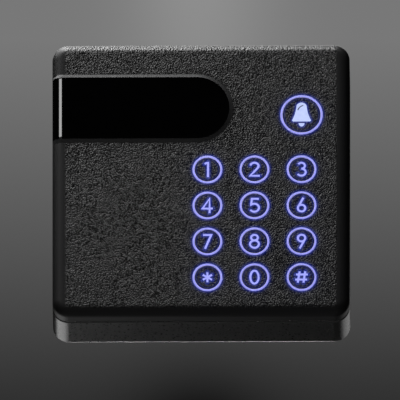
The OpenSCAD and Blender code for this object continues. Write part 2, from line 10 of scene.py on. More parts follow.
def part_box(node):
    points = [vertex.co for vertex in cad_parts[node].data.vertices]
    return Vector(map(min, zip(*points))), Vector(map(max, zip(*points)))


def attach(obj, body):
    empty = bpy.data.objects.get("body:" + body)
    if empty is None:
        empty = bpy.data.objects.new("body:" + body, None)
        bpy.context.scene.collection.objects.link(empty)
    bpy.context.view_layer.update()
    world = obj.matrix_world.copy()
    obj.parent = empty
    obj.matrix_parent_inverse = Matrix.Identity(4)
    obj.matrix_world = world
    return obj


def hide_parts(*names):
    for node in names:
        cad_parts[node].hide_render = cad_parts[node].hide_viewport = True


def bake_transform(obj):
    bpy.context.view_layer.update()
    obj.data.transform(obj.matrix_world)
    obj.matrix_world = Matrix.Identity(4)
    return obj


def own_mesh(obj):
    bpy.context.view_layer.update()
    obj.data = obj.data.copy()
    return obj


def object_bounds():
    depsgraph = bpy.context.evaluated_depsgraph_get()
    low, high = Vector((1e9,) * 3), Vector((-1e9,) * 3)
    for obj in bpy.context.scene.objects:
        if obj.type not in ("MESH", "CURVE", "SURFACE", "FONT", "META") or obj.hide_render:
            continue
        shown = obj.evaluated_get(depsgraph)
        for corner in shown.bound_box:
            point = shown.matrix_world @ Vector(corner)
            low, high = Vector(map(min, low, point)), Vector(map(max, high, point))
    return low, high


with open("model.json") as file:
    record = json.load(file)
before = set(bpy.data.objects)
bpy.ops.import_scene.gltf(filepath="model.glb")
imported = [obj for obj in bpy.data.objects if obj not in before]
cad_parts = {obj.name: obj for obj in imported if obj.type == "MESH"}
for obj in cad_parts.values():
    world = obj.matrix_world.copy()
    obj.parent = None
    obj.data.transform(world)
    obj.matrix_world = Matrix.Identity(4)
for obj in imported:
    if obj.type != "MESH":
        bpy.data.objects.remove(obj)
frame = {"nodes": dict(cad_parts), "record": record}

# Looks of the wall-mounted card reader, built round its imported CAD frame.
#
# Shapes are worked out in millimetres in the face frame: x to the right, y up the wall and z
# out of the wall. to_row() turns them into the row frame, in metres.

CAD_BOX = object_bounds()
MM = 0.001

KEY_LEGENDS = {f"key_{digit}": digit for digit in "1234567890"}
KEY_LEGENDS.update({"key_star": "*", "key_hash": "#", "key_bell": "bell"})


# ---- frame and mesh helpers

def to_row(points):
    """Face-frame millimetres to row-frame metres."""
    p = np.asarray(points, float)
    return np.stack([p[:, 0], -p[:, 2], p[:, 1]], axis=1) * MM


def face_box(node):
    """Lowest and highest corner of a CAD node, in the face frame, in millimetres."""
    lo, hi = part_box(node)
    low = Vector((lo.x, lo.z, -hi.y)) / MM
    high = Vector((hi.x, hi.z, -lo.y)) / MM
    return low, high


def add_piece(name, points, faces, body=None, sharp_deg=40, origin=(0, 0, 0), slot=None,
              stands_for=None):
    """A smooth-shaded mesh piece from face-frame points.

    It rides on a CAD body if one is given, and may stand for a CAD node, which is then hidden.
    Its slot argument, a material slot of the record, is not used.
    """
    centre = to_row([origin])[0]
    mesh = bpy.data.meshes.new(name)
    mesh.from_pydata((to_row(points) - centre).tolist(), [], faces)
    mesh.validate()
    mesh.shade_smooth()
    mesh.set_sharp_from_angle(angle=math.radians(sharp_deg))
    piece = bpy.data.objects.new(name, mesh)
    piece.location = centre
    bpy.context.scene.collection.objects.link(piece)
    if body:
        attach(piece, body)
    if stands_for:
        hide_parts(stands_for)
    return piece


def store(piece, name, values):
    """A number for each point of the piece, for its material to read."""
    attribute = piece.data.attributes.new(name, "FLOAT", "POINT")
    attribute.data.foreach_set("value", np.asarray(values, np.float32))


def store_skin(piece, values, used):
    """Stores values that were worked out for the first points only, with 0 for the rest."""
    for name, numbers in values.items():
        whole = np.zeros(len(used))
        whole[:len(numbers)] = numbers
        store(piece, name, whole[used])


def drop_loose(points, faces):
    """Which points the faces use, and the faces numbered anew over only those points."""
    used = np.zeros(len(points), bool)
    used[[v for f in faces for v in f]] = True
    new_index = np.cumsum(used) - 1
    return used, [tuple(int(new_index[v]) for v in f) for f in faces]


def grid_quads(index):
    """The quads of a grid of point numbers."""
    quads = np.stack([index[:-1, :-1], index[1:, :-1], index[1:, 1:], index[:-1, 1:]], -1)
    return quads.reshape(-1, 4)


def border(faces):
    """The directed edges that only one of the faces has."""
    edges = {(f[k - 1], f[k]) for f in faces for k in range(len(f))}
    return [(a, b) for a, b in edges if (b, a) not in edges]


def thicken(front, back, faces):
    """Closed solid between a sheet and its copy behind, joined round the sheet's border."""
    n = len(front)
    closed = list(faces) + [tuple(n + v for v in reversed(f)) for f in faces]
    closed += [(b, a, n + a, n + b) for a, b in border(faces)]
    return np.concatenate([front, back]), closed


def lathe(profile, centre, steps, closed=False):
    """Points and faces of a profile of (radius, z) turned about a line along z."""
    angles = np.linspace(0, 2 * np.pi, steps, endpoint=False)
    points = [(centre[0] + r * math.cos(a), centre[1] + r * math.sin(a), z)
              for a in angles for r, z in profile]
    n = len(profile)
    faces = []
    for k in range(steps):
        here, there = k * n, (k + 1) % steps * n
        for i in range(n if closed else n - 1):
            j = (i + 1) % n
            faces.append((here + i, there + i, there + j, here + j))
    return points, faces


def turned_solid(profile, centre, steps):
    """Closed solid from a profile turned about a line along z, with flat ends."""
    points, faces = lathe(profile, centre, steps)
    n = len(profile)
    faces.append(tuple(k * n for k in range(steps)))
    faces.append(tuple(k * n + n - 1 for k in reversed(range(steps))))
    return points, faces


def merge_solids(parts):
    """One list of points and faces from several."""
    points, faces = [], []
    for more_points, more_faces in parts:
        start = len(points)
        points += list(more_points)
        faces += [tuple(start + v for v in f) for f in more_faces]
    return points, faces


# ---- what the frame says

cover_high = face_box("front_cover")[1]
window_low, window_high = face_box("led_window")

HALF_W = cover_high.x
HALF_H = cover_high.y
FRONT_Z = cover_high.z
CORNER_R = 6.4
EDGE_R = 3.6
SEAM_R = 0.4
COVER_D = 8.1  # from the face back to the seam
SEAM_Z = FRONT_Z - COVER_D
WALL = 3.0

WINDOW_R = (window_high.y - window_low.y) / 2
WINDOW_Y = (window_high.y + window_low.y) / 2
WINDOW_X = window_high.x - WINDOW_R
WINDOW_FRONT = window_high.z
WINDOW_T = 2.0
WINDOW_BEVEL = 1.5
WINDOW_GAP = 0.06
WINDOW_LIP = 0.06  # share by which the bevel's inner lip stands proud
POCKET_D = WINDOW_T + 0.15  # depth of the window's pocket in the cover

RING_W = 0.9
CAP_GAP = 0.08
RING_GAP = 0.05
FLANGE_W = 1.35  # how far a key's flange stands out round its cap
FLANGE_T = 1.0
HAIR = 0.02  # a hairline, where two pieces all but touch


def key_place(node):
    """Middle of a key's cap on the face, and the cap's radius."""
    low, high = face_box(node)
    middle = Vector(((low.x + high.x) / 2, (low.y + high.y) / 2))
    return middle, (high.x - low.x) / 2 - FLANGE_W


KEYS = {node: key_place(node) for node in KEY_LEGENDS}


# ---- moulded grain

GRAIN_DEPTH = 0.05  # height of the moulded grain
GRAIN_PITCH = 0.3  # spacing of the points that carry it
GRAIN_PEBBLE = 0.82  # distance between the grain's pebbles
PEBBLE_DROP = 2.2  # how steeply a pebble falls away from its top
GRAIN_COARSE = 1.6  # size of the unevenness under them
COARSE_SHARE = 0.8
GRAIN_FADE = 1.2  # width over which the grain comes in
SMOOTH_SIDE = 4.6  # the grain stops this far from the case's sides
GLOW_NEAR = 0.35  # reach of the bright rim of light beside a lit line
GLOW_FAR = 2.5  # reach of the faint halo round it
HALO_SHARE = 0.02


def grain(points):
    """Height of the moulded grain at each point: low pebbles on gentle, uneven ground."""
    heights = np.empty(len(points))
    for k, p in enumerate(points):
        near = noise.voronoi(Vector(p) / GRAIN_PEBBLE)[0][0]
        ground = noise.noise(Vector(p) / GRAIN_COARSE)
        heights[k] = 1 - PEBBLE_DROP * near ** 2 + COARSE_SHARE * ground
    return heights


def fade(distance, width):
    """0 at distance 0 and below, 1 beyond width, smooth in between."""
    t = np.clip(distance / width, 0, 1)
    return t * t * (3 - 2 * t)


def glow_round(x, y, places):
    """How much blue light spills on each point from the lit rings nearby."""
    light = np.zeros(len(x))
    for centre, cap_r in places:
        off = np.abs(np.hypot(x - centre.x, y - centre.y) - (cap_r + CAP_GAP + RING_W / 2))
        light = np.maximum(light, spill(off - RING_W / 2))
    return light


def spill(off):
    """Glow at a distance from a lit line: a bright rim and a faint wide halo."""
    off = np.maximum(off, 0)
    return np.exp(-off / GLOW_NEAR) + HALO_SHARE * np.exp(-off / GLOW_FAR)


# ---- front cover

# The front edge's rounding starts softly: its turn grows with this power of the path over it.
# TURN_RUN and TURN_FALL say how far out and how far back the surface is at each share.
TURN_POWER = 1.4
TURN_STEPS = 400
TURN_SHARE = np.linspace(0, 1, TURN_STEPS)
TURN_RUN = np.cumsum(np.cos(math.pi / 2 * TURN_SHARE ** TURN_POWER)) / TURN_STEPS
TURN_FALL = np.cumsum(np.sin(math.pi / 2 * TURN_SHARE ** TURN_POWER)) / TURN_STEPS
TURN_L = EDGE_R / TURN_FALL[-1]
TURN_START = CORNER_R - TURN_L * TURN_RUN[-1]
TURN_END = TURN_START + TURN_L
TURN_HALF = TURN_START + TURN_L / 2
CORE_X = HALF_W - CORNER_R
CORE_Y = HALF_H - CORNER_R
SIDE_L = FRONT_Z - EDGE_R - SEAM_Z


def edge_turn(path):
    """How far the surface has turned from the face towards the side, in radians."""
    return math.pi / 2 * np.clip((path - TURN_START) / TURN_L, 0, 1) ** TURN_POWER


def cover_skin(core, way, path, seam_r=SEAM_R):
    """Points and normals on the cover's outside, path mm out from core points along way.

    The path runs over the flat face, round the front edge, down the side and, where seam_r
    isn't 0, round the small edge at the seam.
    """
    share = (path - TURN_START) / TURN_L
    turn = edge_turn(path)
    down = np.maximum(path - TURN_END, 0)
    out = TURN_START + TURN_L * np.interp(share, TURN_SHARE, TURN_RUN)
    reach = np.where(share < 0, path, out)
    z = FRONT_Z - TURN_L * np.interp(share, TURN_SHARE, TURN_FALL) - down
    normal = np.stack([way[:, 0] * np.sin(turn), way[:, 1] * np.sin(turn), np.cos(turn)], 1)
    if seam_r:
        tuck = np.clip((down - (SIDE_L - seam_r)) / seam_r, 0, 1) * math.pi / 2
        at_seam = tuck > 0
        reach = np.where(at_seam, CORNER_R - seam_r * (1 - np.cos(tuck)), reach)
        z = np.where(at_seam, SEAM_Z + seam_r * (1 - np.sin(tuck)), z)
        normal[at_seam, :2] *= np.cos(tuck[at_seam])[:, None]
        normal[at_seam, 2] = -np.sin(tuck[at_seam])
    points = np.stack([core[:, 0] + way[:, 0] * reach, core[:, 1] + way[:, 1] * reach, z], 1)
    return points, normal


def face_grid():
    """Core points, directions and paths of a grid over the face and half its rounding."""
    half_x, half_y = CORE_X + TURN_HALF, CORE_Y + TURN_HALF
    count_x, count_y = (round(2 * half / GRAIN_PITCH) for half in (half_x, half_y))
    s, t = np.meshgrid(np.linspace(-half_x, half_x, count_x + 1),
                       np.linspace(-half_y, half_y, count_y + 1), indexing="ij")
    s, t = s.ravel(), t.ravel()
    out_x, out_y = np.maximum(abs(s) - CORE_X, 0), np.maximum(abs(t) - CORE_Y, 0)
    path = np.maximum(out_x, out_y)
    safe = np.where(path > 0, path, 1)
    angle = np.where(out_x >= out_y, math.pi / 4 * out_y / safe,
                     math.pi / 2 - math.pi / 4 * out_x / safe)
    core = np.stack([np.clip(s, -CORE_X, CORE_X), np.clip(t, -CORE_Y, CORE_Y)], 1)
    way = np.stack([np.cos(angle) * np.sign(s), np.sin(angle) * np.sign(t)], 1)
    index = np.arange(len(s)).reshape(count_x + 1, count_y + 1)
    rim = np.concatenate([index[:-1, 0], index[-1, :-1], index[:0:-1, -1], index[0, :0:-1]])
    return core, way, path, grid_quads(index), rim


def window_distance(x, y, r):
    """Distance outside the window's outline: a round end at the right, open to the left."""
    across = y - WINDOW_Y
    return np.where(x > WINDOW_X, np.hypot(x - WINDOW_X, across), abs(across)) - r


def snap(points, distance, direction, reach):
    """Moves the points within reach of an outline onto it; -1 inside, 0 on it, 1 outside."""
    near = abs(distance) <= reach
    points[near, :2] -= direction[near] * distance[near, None]
    return np.where(near, 0, np.sign(distance)).astype(int)


def trim(quads, state):
    """Faces outside an outline and faces inside it, after the points on it were snapped."""
    s = state[quads]
    n_in, n_out = (s < 0).sum(1), (s > 0).sum(1)
    outside = [tuple(q) for q in quads[n_in == 0].tolist()]
    inside = [tuple(q) for q in quads[(n_out == 0) & (n_in > 0)].tolist()]
    for q in quads[(n_in == 1) & (n_out == 1)].tolist():
        values = [state[v] for v in q]
        outside.append(tuple(v for v, side in zip(q, values) if side >= 0))
        inside.append(tuple(v for v, side in zip(q, values) if side <= 0))
    return outside, inside


def chain(edges):
    """Closed loops of points from directed edges."""
    after = dict(edges)
    loops = []
    while after:
        start, step = after.popitem()
        loop = [start]
        while step != start:
            loop.append(step)
            step = after.pop(step)
        loops.append(loop)
    return loops


def cover_grid():
    """The face grid carried on down the cover's side, and its last row, at the seam."""
    core, way, path, quads, rim = face_grid()
    seam_start = TURN_END + SIDE_L - SEAM_R
    side_paths = np.arange(TURN_HALF + GRAIN_PITCH, seam_start, GRAIN_PITCH)
    side_paths = np.append(side_paths, seam_start + SEAM_R * np.array([0, 0.35, 0.7, 1]))
    n_face, n_rim = len(core), len(rim)
    rows = [rim] + [n_face + k * n_rim + np.arange(n_rim) for k in range(len(side_paths))]
    core = np.concatenate([core] + [core[rim]] * len(side_paths))
    way = np.concatenate([way] + [way[rim]] * len(side_paths))
    path = np.concatenate([path] + [np.full(n_rim, p) for p in side_paths])
    for upper, lower in zip(rows, rows[1:]):
        strip = np.stack([np.roll(upper, -1), upper, lower, np.roll(lower, -1)], 1)
        quads = np.concatenate([quads, strip])
    return core, way, path, quads, rows[-1]


def outline_key_holes(points, on_face):
    """Snaps points onto the key holes' outlines; each point's side, and how clear it is."""
    state = np.ones(len(points), int)
    clear = np.ones(len(points))
    far = 99.0
    for centre, cap_r in KEYS.values():
        r = cap_r + CAP_GAP + RING_W + RING_GAP
        offset = points[:, :2] - np.array(centre)
        length = np.maximum(np.hypot(offset[:, 0], offset[:, 1]), 1e-6)
        side = snap(points, np.where(on_face, length - r, far), offset / length[:, None],
                    GRAIN_PITCH / 2)
        state = np.minimum(state, side)
        clear = np.minimum(clear, fade(length - r, 0.5))
    return state, clear


def outline_window(points, deep):
    """Snaps points onto the window's outline; each point's side and its distance outside.

    deep holds the same points before they are sunk to the pocket's floor, and moves along.
    """
    outside = window_distance(points[:, 0], points[:, 1], WINDOW_R + WINDOW_GAP)
    toward = points[:, :2] - np.array([WINDOW_X, WINDOW_Y])
    toward[points[:, 0] < WINDOW_X, 0] = 0
    toward /= np.maximum(np.hypot(toward[:, 0], toward[:, 1]), 1e-6)[:, None]
    before = points.copy()
    state = snap(points, outside, toward, GRAIN_PITCH / 2)
    deep[:, :2] += points[:, :2] - before[:, :2]
    return state, outside


def grain_mask(points, way, path, clear, outside):
    """How much grain each point carries: none at the holes, window, seam and sides.

    On the front edge's rounding it stays only along the top.
    """
    mask = np.minimum(clear, fade(outside, 0.3))
    mask *= fade(TURN_END + SIDE_L - path, GRAIN_FADE)
    off_top = 1 - 0.9 * np.maximum(way[:, 1], 0) ** 4
    mask *= 1 - fade(path - TURN_START - 0.9, 1.6) * off_top
    return mask * fade(HALF_W - abs(points[:, 0]) - SMOOTH_SIDE, GRAIN_FADE)


def rounding_painted_highlight_and_shade(way, path):
    """How much the top rounding is painted paler, as a painted highlight, and how much the left
    one is painted darker, as painted shade.
    """
    upwards, leftwards = np.maximum(way[:, 1], 0), np.maximum(-way[:, 0], 0)
    # painted highlight: strongest on the top rounding, faint all round
    edge = fade(path - TURN_START - 1.2, 1.2) * (0.05 + 0.95 * upwards ** 6)
    # painted shade on the left rounding
    return edge, fade(path - TURN_START - 0.8, 2.4) * leftwards ** 4


def cover_walls(surface, floor, on_window, seat, n):
    """Walls of the window's pocket and the rim at the seam, and the key holes' edges.

    A floor point has its surface point's number plus n; seat leads to the inner rim.
    """
    walls, hole_edges = [], []
    floor_edges = set(border(floor))
    for a, b in border(surface):
        if (b, a) in floor_edges and on_window[a] and on_window[b]:
            walls.append((b, a, a + n, b + n))
        elif a in seat and b in seat:
            rim_face = [b, a] + [a + n] * int(on_window[a]) + [seat[a], seat[b]]
            walls.append(tuple(rim_face + [b + n] * int(on_window[b])))
        else:
            hole_edges.append((a, b))
    for a, b in floor_edges:
        if a in seat and b in seat:
            walls.append((b + n, a + n, seat[a], seat[b]))
    return walls, hole_edges


def inner_face(points, loops):
    """Flat triangles that fill the first loop, with the others as holes, facing the wall."""
    flat = [v for loop in loops for v in loop]
    corners = [[Vector(points[v]) for v in loop] for loop in loops]
    triangles = []
    for triangle in geometry.tessellate_polygon(corners):
        a, b, c = (flat[v] for v in triangle)
        turn_way = np.cross(points[b] - points[a], points[c] - points[a])[2]
        triangles.append((a, b, c) if turn_way < 0 else (a, c, b))
    return triangles


def build_cover():
    """The front cover as one closed shell, with its grain, holes and window pocket."""
    core, way, path, quads, seam_row = cover_grid()
    points, normals = cover_skin(core, way, path)
    deep, _ = cover_skin(core, way, path, seam_r=0)
    turn = edge_turn(path)
    steady = np.stack([way[:, 0] * np.sin(turn), way[:, 1] * np.sin(turn), np.cos(turn)], 1)

    hole_state, clear = outline_key_holes(points, path < TURN_START)
    window_state, outside = outline_window(points, deep)
    faces, _ = trim(quads, hole_state)
    whole = np.array([f for f in faces if len(f) == 4])
    surface, floor = trim(whole, window_state)
    surface += [f for f in faces if len(f) == 3]

    mask = grain_mask(points, way, path, clear, outside)
    height = grain(points) * mask
    glow = glow_round(points[:, 0], points[:, 1], KEYS.values())
    # edge is a painted highlight on the top rounding, side is painted shade on the left rounding
    edge, side = rounding_painted_highlight_and_shade(way, path)
    skin_values = {"glow": glow, "relief": mask, "height": height, "edge": edge, "side": side}
    points += normals * height[:, None] * GRAIN_DEPTH

    # the pocket's floor, then the inner rim at the seam and at the inner face
    n, n_rim = len(points), len(seam_row)
    inner_z = FRONT_Z - WALL
    inside = core[seam_row] + way[seam_row] * (CORNER_R - WALL)
    points = np.concatenate([points, deep - steady * POCKET_D,
                             np.c_[inside, np.full(n_rim, SEAM_Z)],
                             np.c_[inside, np.full(n_rim, inner_z)]])
    inner_rim = list(range(2 * n, 2 * n + n_rim))
    seat = dict(zip(seam_row.tolist(), inner_rim))
    walls, hole_edges = cover_walls(surface, floor, window_state == 0, seat, n)
    shell = surface + [tuple(v + n for v in f) for f in floor] + walls
    for a, b in zip(inner_rim, inner_rim[1:] + inner_rim[:1]):
        shell.append((b, a, a + n_rim, b + n_rim))

    # walls of the key holes, and the inner face with its holes
    foot = {a: len(points) + k for k, (a, _) in enumerate(hole_edges)}
    feet = points[list(foot)]
    feet[:, 2] = inner_z
    points = np.concatenate([points, feet])
    shell += [(b, a, foot[a], foot[b]) for a, b in hole_edges]
    hole_loops = [[foot[v] for v in loop] for loop in chain(hole_edges)]
    shell += inner_face(points, [[v + n_rim for v in inner_rim]] + hole_loops)

    used, shell = drop_loose(points, shell)
    cover = add_piece("grained_cover", points[used], shell, "reader", sharp_deg=55,
                      slot="cover_plastic", stands_for="front_cover")
    store_skin(cover, skin_values, used)
    return cover


# ---- status window

def rim_drop(across):
    """How far the window's surface falls, from the start of its bevel outwards."""
    into = np.clip((across - (WINDOW_R - WINDOW_BEVEL)) / WINDOW_BEVEL, 0, 1)
    lip = WINDOW_LIP * np.sin(np.pi * np.minimum(8 * into, 1))
    return (WINDOW_FRONT - FRONT_Z + HAIR) * (into - lip)


def build_window():
    """Glossy shell: a flat with a round right end that turns the case's left edge."""
    round_r = EDGE_R + 0.4
    bevel_steps = WINDOW_R - WINDOW_BEVEL * np.array([1, 0.96, 0.9, 0.82, 0.6, 0.3, 0.06, 0])
    radii = np.concatenate([np.linspace(0, bevel_steps[0], 10)[:-1], bevel_steps])
    across = np.concatenate([-radii[:0:-1], radii])
    bend_x = -HALF_W + round_r
    bend_z = WINDOW_FRONT - round_r
    rail = [(x, WINDOW_FRONT, 0.0, 1.0) for x in np.linspace(WINDOW_X, bend_x, 24)]
    rail += [(bend_x - round_r * math.sin(a), bend_z + round_r * math.cos(a),
              -math.sin(a), math.cos(a)) for a in np.linspace(0, math.pi / 2, 25)[1:]]
    rail += [(-HALF_W, z, -1.0, 0.0) for z in np.linspace(bend_z, SEAM_Z, 8)[1:]]
    front, back = [], []
    for x, z, nx, nz in rail:
        for t in across:
            drop = float(rim_drop(abs(t)))
            front.append((x - nx * drop, WINDOW_Y + t, z - nz * drop))
            back.append((x - nx * WINDOW_T, WINDOW_Y + t, z - nz * WINDOW_T))
    index = np.arange(len(front)).reshape(len(rail), len(across))
    faces = grid_quads(index[::-1]).tolist()
    # the round end: its first and last spokes are the strip's first column
    turns = 48
    middle = len(radii) - 1
    spokes = [[middle - k for k in range(len(radii))]]
    for step in range(1, turns):
        angle = -math.pi / 2 + math.pi * step / turns
        spoke = [middle]
        for r in radii[1:]:
            spoke.append(len(front))
            x, y = WINDOW_X + r * math.cos(angle), WINDOW_Y + r * math.sin(angle)
            front.append((x, y, WINDOW_FRONT - float(rim_drop(r))))
            back.append((x, y, WINDOW_FRONT - WINDOW_T))
        spokes.append(spoke)
    spokes.append([middle + k for k in range(len(radii))])
    for one, two in zip(spokes, spokes[1:]):
        faces.append((one[0], one[1], two[1]))
        faces += [(one[k], one[k + 1], two[k + 1], two[k]) for k in range(1, len(radii) - 1)]
    across_all = window_distance(np.array(front)[:, 0], np.array(front)[:, 1], 0)
    points, faces = thicken(np.array(front), np.array(back), faces)
    window = add_piece("status_window", points, faces, "reader", sharp_deg=50,
                       slot="window_plastic", stands_for="led_window")
    rim = fade(across_all - (WINDOW_R - WINDOW_BEVEL), 0.1)
    store(window, "rim", np.append(rim, np.ones(len(points) - len(rim))))
    return window


# ---- legends

STROKE_W = 1.0  # width of a legend's line
LEGEND_PROUD = 0.07  # how far a legend stands out of its cap
LEGEND_SUNK = 0.35
LEGEND_EDGE = 0.14  # slope along a legend's edges


def arc(cx, cy, rx, ry, start, end, steps=28):
    """Points along part of an ellipse, from one angle to another, in degrees."""
    return [(cx + rx * math.cos(math.radians(a)), cy + ry * math.sin(math.radians(a)))
            for a in np.linspace(start, end, steps)]


def ring(cx, cy, rx, ry):
    """A closed ellipse."""
    return arc(cx, cy, rx, ry, 0, 360, 49)[:-1], True


def crossed(angles, reach):
    """Open strokes through the middle, at some angles in degrees."""
    ends = [(reach * math.cos(math.radians(a)), reach * math.sin(math.radians(a)))
            for a in angles]
    return [([(-x, -y), (x, y)], False) for x, y in ends]


def hash_strokes():
    """Two slanting posts and two bars."""
    slant, rise, span, tilt = 0.4, 2.45, 2.4, 0.15
    posts = [([(x - slant, -rise), (x + slant, rise)], False) for x in (-1.15, 1.15)]
    bars = [([(-span + lean, y), (span + lean, y)], False)
            for y, lean in ((1.1, tilt), (-1.1, -tilt))]
    return posts + bars


# The centre lines of each sign's strokes about its middle, and whether each is closed.
STROKES = {
    "1": [([(-1.15, 2.45), (-0.3, 2.8), (0.25, 2.8)], False),
          ([(0.25, 3.3), (0.25, -3.3)], False)],
    "2": [(arc(0, 1.45, 1.65, 1.4, 172, -38) + [(-1.75, -2.8), (2.15, -2.8)], False)],
    "3": [(arc(-0.05, 1.5, 1.4, 1.3, 150, -90, 24), False),
          (arc(-0.05, -1.3, 1.7, 1.5, 90, -150, 30), False)],
    "4": [([(0.85, -3.3), (0.85, 2.9), (-2.0, -1.35), (2.15, -1.35)], False)],
    "5": [([(1.75, 2.8), (-1.05, 2.8), (-1.35, 0.35)]
           + arc(-0.05, -1.05, 1.85, 1.75, 135, -150), False)],
    "6": [ring(0, -1.3, 1.5, 1.45), ([(0.75, 3.25), (-1.25, -0.6)], False)],
    "7": [([(-1.75, 2.75), (1.5, 2.75), (-0.95, -3.2)], False)],
    "8": [ring(0, 1.55, 1.35, 1.2), ring(0, -1.25, 1.8, 1.6)],
    "9": [ring(0, 1.3, 1.5, 1.45), ([(-0.75, -3.25), (1.25, 0.6)], False)],
    "0": [ring(0, 0, 1.65, 2.8)],
    "*": crossed((90, 30, -30), 2.15),
    "#": hash_strokes(),
}


def ribbon(line, closed, width, z_low, z_high, edge):
    """Closed solid along a flat line, with sloping edges on top."""
    points = [Vector(p) for p in line]
    count = len(points)
    half = width / 2
    section = [(-half, z_low), (-half, z_high - edge), (-half + edge, z_high),
               (half - edge, z_high), (half, z_high - edge), (half, z_low)]
    rings = []
    for k, p in enumerate(points):
        back = points[k - 1] if k or closed else None
        ahead = points[(k + 1) % count] if k < count - 1 or closed else None
        before = (p - back).normalized() if back is not None else None
        after = (ahead - p).normalized() if ahead is not None else before
        before = before if before is not None else after
        along = (before + after).normalized()
        side = Vector((along.y, -along.x))
        stretch = min(1 / max(side.dot(Vector((before.y, -before.x))), 0.45), 1.8)
        rings.append([(p.x + side.x * s * stretch, p.y + side.y * s * stretch, z)
                      for s, z in section])
    n = len(section)
    verts = [v for one in rings for v in one]
    faces = []
    for k in range(count if closed else count - 1):
        here, there = k * n, (k + 1) % count * n
        faces += [(here + i, here + (i + 1) % n, there + (i + 1) % n, there + i)
                  for i in range(n)]
    if not closed:
        faces.append(tuple(reversed(range(n))))
        faces.append(tuple((count - 1) * n + i for i in range(n)))
    return verts, faces


def solid_object(points, faces):
    """A loose mesh object with its faces turned outwards, to be joined with others."""
    mesh = bpy.data.meshes.new("part")
    mesh.from_pydata(to_row(points).tolist(), [], faces)
    bm = bmesh.new()
    bm.from_mesh(mesh)
    bmesh.ops.recalc_face_normals(bm, faces=bm.faces)
    bm.to_mesh(mesh)
    bm.free()
    made = bpy.data.objects.new("part", mesh)
    bpy.context.scene.collection.objects.link(made)
    return made


def combine(base, others, operation):
    """Joins the other solids to the base, or cuts them from it, as one clean mesh."""
    for other in others:
        step = base.modifiers.new("step", "BOOLEAN")
        step.operation = operation
        step.solver = "EXACT"
        step.object = other
        depsgraph = bpy.context.evaluated_depsgraph_get()
        mesh = bpy.data.meshes.new_from_object(base.evaluated_get(depsgraph))
        base.modifiers.clear()
        base.data = mesh
        bpy.data.objects.remove(other)
    return base


def bell_outline():
    """Outline of the bell's body: a dome, a widening skirt and a rounded lip."""
    top, shoulder, lip = 5.45, 3.3, -2.35
    dome_r, lip_r, hem_y = 2.25, 3.95, -3.05
    dome = [(dome_r * math.cos(a), shoulder + (top - shoulder) * math.sin(a))
            for a in np.linspace(0, math.pi / 2, 14)[:-1]]
    skirt = [(dome_r + (lip_r - dome_r) * (0.35 * u + 0.65 * u ** 2),
              shoulder + (lip - shoulder) * u) for u in np.linspace(1, 0, 16)[:-1]]
    right = [(lip_r - 0.5, hem_y), (lip_r - 0.1, hem_y + 0.3)] + skirt + dome
    return right + [(0, top)] + [(-x, y) for x, y in reversed(right)]


def bell_clapper():
    """Outline of what shows of the clapper, under the bell's hem."""
    return arc(0, -3.5, 1.35, 1.75, 180, 360, 24)


BELL_SLIT = [(-1.5, 2.0), (-1.25, 2.6), (-0.8, 3.2), (-0.1, 3.75), (0.7, 4.1)]
BELL_SLIT_W = 0.4


def plate_solid(outline, z_low, z_high, edge):
    """Closed solid from a flat outline, with sloping edges on top."""
    bm = bmesh.new()
    top = bm.faces.new([bm.verts.new((x, y, z_high)) for x, y in outline])
    grown = bmesh.ops.extrude_face_region(bm, geom=[top])["geom"]
    lower = [v for v in grown if isinstance(v, bmesh.types.BMVert)]
    bmesh.ops.translate(bm, verts=lower, vec=(0, 0, z_low - z_high))
    rim = [e for e in bm.edges if all(abs(v.co.z - z_high) < 1e-6 for v in e.verts)]
    bmesh.ops.bevel(bm, geom=rim, offset=edge, segments=2, affect="EDGES")
    points = [tuple(v.co) for v in bm.verts]
    faces = [tuple(v.index for v in f.verts) for f in bm.faces]
    bm.free()
    return points, faces


def build_legend(node, sign):
    """The sign on a key's cap, as one raised solid that rides on the key."""
    centre, _ = KEYS[node]
    z_high = FRONT_Z + LEGEND_PROUD
    z_low = FRONT_Z - LEGEND_SUNK
    if sign == "bell":
        shapes = [plate_solid(outline, z_low, z_high, LEGEND_EDGE)
                  for outline in (bell_outline(), bell_clapper())]
        cuts = [ribbon(BELL_SLIT, False, BELL_SLIT_W, z_low - 1, z_high + 1, 0)]
    else:
        shapes = [ribbon(line, closed, STROKE_W, z_low, z_high, LEGEND_EDGE)
                  for line, closed in STROKES[sign]]
        cuts = []
    solids = [solid_object(*shape) for shape in shapes]
    made = combine(solids[0], solids[1:], "UNION")
    made = combine(made, [solid_object(*cut) for cut in cuts], "DIFFERENCE")
    made.name = made.data.name = node.replace("key", "legend")
    made.location = to_row([(centre.x, centre.y, 0)])[0]
    made.data.shade_flat()
    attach(made, node)
    return made


def stroke_distance(x, y, sign):
    """Distance from each point to the nearest edge of a sign's strokes."""
    best = np.full(len(x), 99.0)
    if sign == "bell":
        outline = bell_outline()
        lines = [outline + outline[:1], bell_clapper()]
        half = 0.0
    else:
        lines = [line + line[:1] * closed for line, closed in STROKES[sign]]
        half = STROKE_W / 2
    for line in lines:
        for (x0, y0), (x1, y1) in zip(line, line[1:]):
            dx, dy = x1 - x0, y1 - y0
            share = np.clip(((x - x0) * dx + (y - y0) * dy) / (dx * dx + dy * dy), 0, 1)
            best = np.minimum(best, np.hypot(x - x0 - share * dx, y - y0 - share * dy))
    return best - half


# ---- key caps and lit rings

CAP_SOFT = 0.25  # rounding of a cap's top edge


